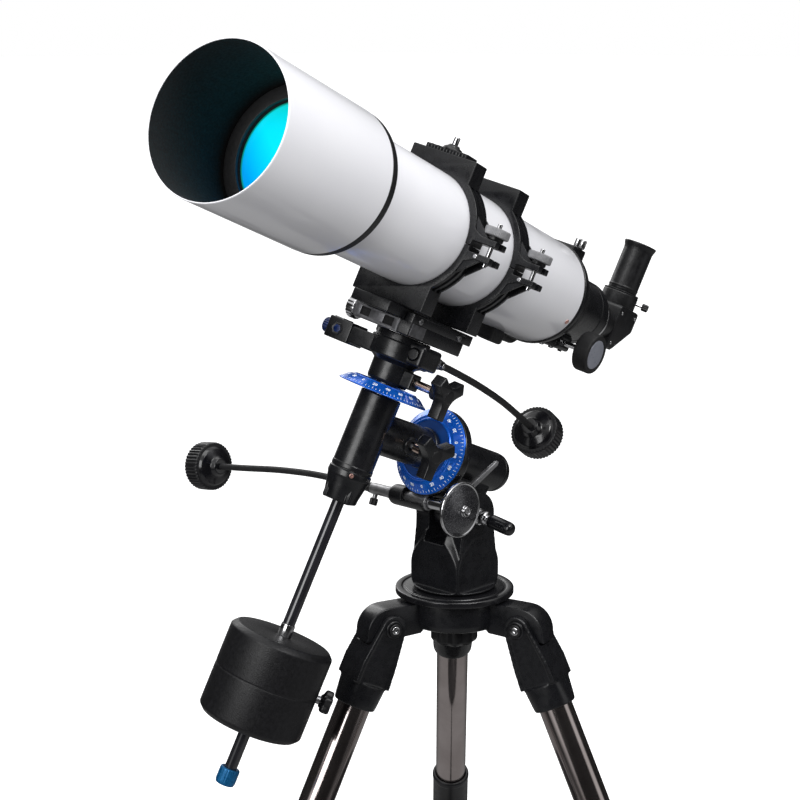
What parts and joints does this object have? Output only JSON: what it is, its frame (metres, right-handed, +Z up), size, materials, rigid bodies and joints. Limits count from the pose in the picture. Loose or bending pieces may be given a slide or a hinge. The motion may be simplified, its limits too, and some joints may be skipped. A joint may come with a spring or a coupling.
{
  "type": "refractor telescope",
  "caption": "Refracting telescope with star diagonal, held in two hinged rings on a German equatorial mount with flexible slow-motion controls, on a folding steel-legged tripod.",
  "frame": {"origin": "The middle of the underside of the whole object's bounding box, on the ground under the tripod.", "axes": "+Z is up. +Y is the horizontal direction the polar axis rises toward (the pole). +X is to the right when facing the pole."},
  "size_m": [0.7622, 0.79, 1.3068],
  "materials": {
    "anodised_blue": "blue anodised, turned",
    "cast_black": "satin black paint over an aluminium casting",
    "chrome": "polished chrome plate",
    "lens_teal": "multi-coated optical glass",
    "nickel": "dull nickel plate",
    "plastic_black": "moulded black plastic, low sheen",
    "rubber": "matte rubber",
    "steel": "polished stainless tube",
    "tube_white": "gloss white enamel over an aluminium tube"
  },
  "bodies": {
    "tripod": {"tripod_hub": "cast_black"},
    "mount_knob": {"mount_knob": "plastic_black"},
    "tray": {"accessory_tray": "cast_black"},
    "leg_a": {"leg_socket_a": "cast_black", "leg_tube_a": "steel", "brace_collar_a": "plastic_black", "leg_clamp_a": "plastic_black"},
    "lower_leg_a": {"lower_leg_a": "steel"},
    "brace_a": {"brace_arm_a": "cast_black"},
    "leg_b": {"leg_socket_b": "cast_black", "leg_tube_b": "steel", "brace_collar_b": "plastic_black", "leg_clamp_b": "plastic_black"},
    "lower_leg_b": {"lower_leg_b": "steel"},
    "brace_b": {"brace_arm_b": "cast_black"},
    "leg_c": {"leg_socket_c": "cast_black", "leg_tube_c": "steel", "brace_collar_c": "plastic_black", "leg_clamp_c": "plastic_black"},
    "lower_leg_c": {"lower_leg_c": "steel"},
    "brace_c": {"brace_arm_c": "cast_black"},
    "azimuth": {"mount_base": "cast_black"},
    "latitude_clamp": {"latitude_clamp": "chrome"},
    "latitude": {"ra_housing": "cast_black", "ra_cable": "rubber"},
    "latitude_lever": {"latitude_lever": "nickel"},
    "ra_circle": {"ra_circle": "anodised_blue"},
    "ra_worm": {"ra_worm": "chrome"},
    "ra_knob": {"ra_knob": "plastic_black"},
    "ra": {"dec_housing": "cast_black", "weight_bar": "chrome"},
    "ra_lock_knob": {"ra_lock_knob": "plastic_black"},
    "dec_circle": {"dec_circle": "anodised_blue"},
    "counterweight": {"counterweight": "cast_black"},
    "weight_screw": {"weight_screw": "plastic_black"},
    "bar_cap": {"bar_cap": "anodised_blue"},
    "dec": {"dec_head": "cast_black", "saddle": "cast_black", "dec_cable": "rubber"},
    "dec_lock_knob": {"dec_lock_knob": "plastic_black"},
    "dec_worm": {"dec_worm": "chrome"},
    "dec_knob": {"dec_knob": "plastic_black"},
    "dec_arm_screw": {"dec_arm_screw": "plastic_black"},
    "saddle_screw": {"saddle_screw": "plastic_black"},
    "cradle": {"dovetail_bar": "cast_black", "ring_front_lower": "cast_black", "ring_rear_lower": "cast_black"},
    "optical_tube": {"main_tube": "tube_white", "objective_cell": "plastic_black", "objective_lens": "lens_teal", "focuser_body": "plastic_black"},
    "ring_front_upper": {"ring_front_upper": "cast_black"},
    "ring_bolt_front": {"ring_bolt_front": "nickel"},
    "ring_rear_upper": {"ring_rear_upper": "cast_black"},
    "ring_bolt_rear": {"ring_bolt_rear": "nickel"},
    "dew_shield": {"dew_shield": "tube_white"},
    "draw_tube": {"draw_tube": "nickel"},
    "focus_wheels": {"focus_wheels": "plastic_black"},
    "diagonal": {"diagonal": "plastic_black"},
    "eyepiece": {"eyepiece_tube": "plastic_black"}
  },
  "joints": [
    {"name": "mount_knob_turn", "type": "hinge", "parent": "tripod", "child": "mount_knob", "pos_m": [0.0336, -0.0242, 0.7613], "axis": [0, 0, 1], "continuous": true},
    {"name": "leg_a_fold", "type": "hinge", "parent": "tripod", "child": "leg_a", "pos_m": [0.05632, 0.05251, 0.7323], "axis": [-0.9588, 0.284, 0], "range_deg": [0, 12]},
    {"name": "leg_b_fold", "type": "hinge", "parent": "tripod", "child": "leg_b", "pos_m": [-0.04419, -0.04288, 0.7323], "axis": [0.2334, -0.9724, 0], "range_deg": [0, 12]},
    {"name": "leg_c_fold", "type": "hinge", "parent": "tripod", "child": "leg_c", "pos_m": [0.08867, -0.08223, 0.7323], "axis": [0.7254, 0.6884, 0], "range_deg": [0, 12]},
    {"name": "tray_lift", "type": "slide", "parent": "tripod", "child": "tray", "axis": [0, 0, 1], "range_m": [0, 0.0664]},
    {"name": "brace_a_fold", "type": "hinge", "parent": "leg_a", "child": "brace_a", "pos_m": [0.09149, 0.17122, 0.3985], "axis": [-0.9588, 0.284, 0], "range_deg": [0, 24.73]},
    {"name": "leg_a_extend", "type": "slide", "parent": "leg_a", "child": "lower_leg_a", "axis": [0.1187, 0.4007, -0.9085], "range_m": [-0.2, 0.1]},
    {"name": "brace_b_fold", "type": "hinge", "parent": "leg_b", "child": "brace_b", "pos_m": [-0.16458, -0.07178, 0.3985], "axis": [0.2334, -0.9724, 0], "range_deg": [0, 24.73]},
    {"name": "leg_b_extend", "type": "slide", "parent": "leg_b", "child": "lower_leg_b", "axis": [-0.4063, -0.0975, -0.9085], "range_m": [-0.2, 0.1]},
    {"name": "brace_c_fold", "type": "hinge", "parent": "leg_c", "child": "brace_c", "pos_m": [0.1739, -0.17204, 0.3985], "axis": [0.7254, 0.6884, 0], "range_deg": [0, 24.73]},
    {"name": "leg_c_extend", "type": "slide", "parent": "leg_c", "child": "lower_leg_c", "axis": [0.2876, -0.3031, -0.9085], "range_m": [-0.2, 0.1]},
    {"name": "azimuth", "type": "hinge", "parent": "tripod", "child": "azimuth", "pos_m": [0.0336, -0.0242, 0.7613], "axis": [0, 0, 1], "continuous": true},
    {"name": "latitude_clamp_turn", "type": "hinge", "parent": "azimuth", "child": "latitude_clamp", "pos_m": [0.0336, -0.0242, 0.8393], "axis": [1, 0, 0], "range_deg": [-60, 60]},
    {"name": "latitude", "type": "hinge", "parent": "azimuth", "child": "latitude", "pos_m": [0.0336, -0.0242, 0.8393], "axis": [1, 0, 0], "range_deg": [-8, 34]},
    {"name": "latitude_lever_turn", "type": "hinge", "parent": "latitude", "child": "latitude_lever", "pos_m": [0.0336, -0.00637, 0.87477], "axis": [1, 0, 0], "range_deg": [-20, 30]},
    {"name": "ra_circle_turn", "type": "hinge", "parent": "latitude", "child": "ra_circle", "pos_m": [0.0336, 0.01111, 0.90663], "axis": [0, 0.9245, 0.3811], "continuous": true},
    {"name": "ra_worm_turn", "type": "hinge", "parent": "latitude", "child": "ra_worm", "pos_m": [0.0336, 0.01972, 0.8574], "axis": [1, 0, 0], "continuous": true},
    {"name": "ra_knob_turn", "type": "hinge", "parent": "latitude", "child": "ra_knob", "pos_m": [0.3449, 0.02038, 0.83871], "axis": [0.9915, 0.0014, -0.1302], "continuous": true},
    {"name": "ra", "type": "hinge", "parent": "latitude", "child": "ra", "pos_m": [0.0336, 0.09847, 0.94264], "axis": [0, 0.9245, 0.3811], "range_deg": [-60, 60]},
    {"name": "ra_lock_turn", "type": "hinge", "parent": "ra", "child": "ra_lock_knob", "pos_m": [0.0336, 0.05964, 0.92664], "axis": [-0.9877, 0.0596, -0.1446], "continuous": true},
    {"name": "dec_circle_turn", "type": "hinge", "parent": "ra", "child": "dec_circle", "pos_m": [0.0336, 0.09847, 0.94264], "axis": [-0.1564, -0.3764, 0.9132], "continuous": true},
    {"name": "counterweight_slide", "type": "slide", "parent": "ra", "child": "counterweight", "axis": [-0.1564, -0.3764, 0.9132], "range_m": [-0.043, 0.125]},
    {"name": "weight_screw_turn", "type": "hinge", "parent": "counterweight", "child": "weight_screw", "pos_m": [0.07388, 0.19539, 0.70751], "axis": [-0.6349, -0.6699, -0.3849], "continuous": true},
    {"name": "bar_cap_turn", "type": "hinge", "parent": "ra", "child": "bar_cap", "pos_m": [0.0336, 0.09847, 0.94264], "axis": [-0.1564, -0.3764, 0.9132], "continuous": true},
    {"name": "dec", "type": "hinge", "parent": "ra", "child": "dec", "pos_m": [0.0336, 0.09847, 0.94264], "axis": [-0.1564, -0.3764, 0.9132], "range_deg": [-60, 90]},
    {"name": "dec_lock_turn", "type": "hinge", "parent": "dec", "child": "dec_lock_knob", "pos_m": [0.02468, 0.07702, 0.9947], "axis": [-0.9631, -0.1467, -0.2255], "continuous": true},
    {"name": "dec_worm_turn", "type": "hinge", "parent": "dec", "child": "dec_worm", "pos_m": [-0.00427, 0.0638, 1.01166], "axis": [0.2188, -0.9148, -0.3396], "continuous": true},
    {"name": "dec_knob_turn", "type": "hinge", "parent": "dec", "child": "dec_knob", "pos_m": [0.04811, -0.15498, 0.90357], "axis": [0.2051, -0.8314, -0.5164], "continuous": true},
    {"name": "dec_arm_screw_turn", "type": "hinge", "parent": "dec", "child": "dec_arm_screw", "pos_m": [0.0966, 0.08075, 1.031], "axis": [0.9631, 0.1467, 0.2255], "continuous": true},
    {"name": "saddle_screw_turn", "type": "hinge", "parent": "dec", "child": "saddle_screw", "pos_m": [0.07319, 0.06784, 1.05069], "axis": [0.9631, 0.1467, 0.2255], "continuous": true},
    {"name": "dovetail_slide", "type": "slide", "parent": "dec", "child": "cradle", "axis": [-0.2188, 0.9148, 0.3396], "range_m": [-0.02, 0.02]},
    {"name": "tube_roll", "type": "hinge", "parent": "cradle", "child": "optical_tube", "pos_m": [0.00357, 0.02621, 1.11797], "axis": [-0.2188, 0.9148, 0.3396], "continuous": true},
    {"name": "ring_front_open", "type": "hinge", "parent": "cradle", "child": "ring_front_upper", "pos_m": [0.0591, 0.07781, 1.14875], "axis": [-0.2188, 0.9148, 0.3396], "range_deg": [0, 95]},
    {"name": "ring_front_nut_turn", "type": "hinge", "parent": "ring_front_upper", "child": "ring_bolt_front", "pos_m": [-0.08055, 0.05654, 1.11606], "axis": [-0.1564, -0.3764, 0.9132], "continuous": true},
    {"name": "ring_rear_open", "type": "hinge", "parent": "cradle", "child": "ring_rear_upper", "pos_m": [0.07923, -0.00635, 1.11752], "axis": [-0.2188, 0.9148, 0.3396], "range_deg": [0, 95]},
    {"name": "ring_rear_nut_turn", "type": "hinge", "parent": "ring_rear_upper", "child": "ring_bolt_rear", "pos_m": [-0.06042, -0.02762, 1.08482], "axis": [-0.1564, -0.3764, 0.9132], "continuous": true},
    {"name": "dew_shield_slide", "type": "slide", "parent": "optical_tube", "child": "dew_shield", "axis": [-0.2188, 0.9148, 0.3396], "range_m": [0, 0.05]},
    {"name": "focus_travel", "type": "slide", "parent": "optical_tube", "child": "draw_tube", "axis": [0.2188, -0.9148, -0.3396], "range_m": [0, 0.05]},
    {"name": "focus_wheels_turn", "type": "hinge", "parent": "optical_tube", "child": "focus_wheels", "pos_m": [0.07006, -0.21159, 0.98864], "axis": [0.9631, 0.1467, 0.2255], "continuous": true},
    {"name": "diagonal_turn", "type": "hinge", "parent": "draw_tube", "child": "diagonal", "pos_m": [0.00357, 0.02621, 1.11797], "axis": [-0.2188, 0.9148, 0.3396], "continuous": true},
    {"name": "eyepiece_slide", "type": "slide", "parent": "diagonal", "child": "eyepiece", "axis": [-0.1564, -0.3764, 0.9132], "range_m": [0, 0.02]}
  ],
  "couplings": [
    {"joint": "leg_b_fold", "follows": "leg_a_fold", "ratio": 1},
    {"joint": "leg_c_fold", "follows": "leg_a_fold", "ratio": 1},
    {"joint": "tray_lift", "follows": "leg_a_fold", "m_per_rad": 0.3169},
    {"joint": "brace_a_fold", "follows": "leg_a_fold", "ratio": 2.0609},
    {"joint": "brace_b_fold", "follows": "leg_a_fold", "ratio": 2.0609},
    {"joint": "brace_c_fold", "follows": "leg_a_fold", "ratio": 2.0609},
    {"joint": "ra_knob_turn", "follows": "ra_worm_turn", "ratio": 1},
    {"joint": "dec_knob_turn", "follows": "dec_worm_turn", "ratio": 1},
    {"joint": "focus_wheels_turn", "follows": "focus_travel", "rad_per_m": 153.8}
  ]
}
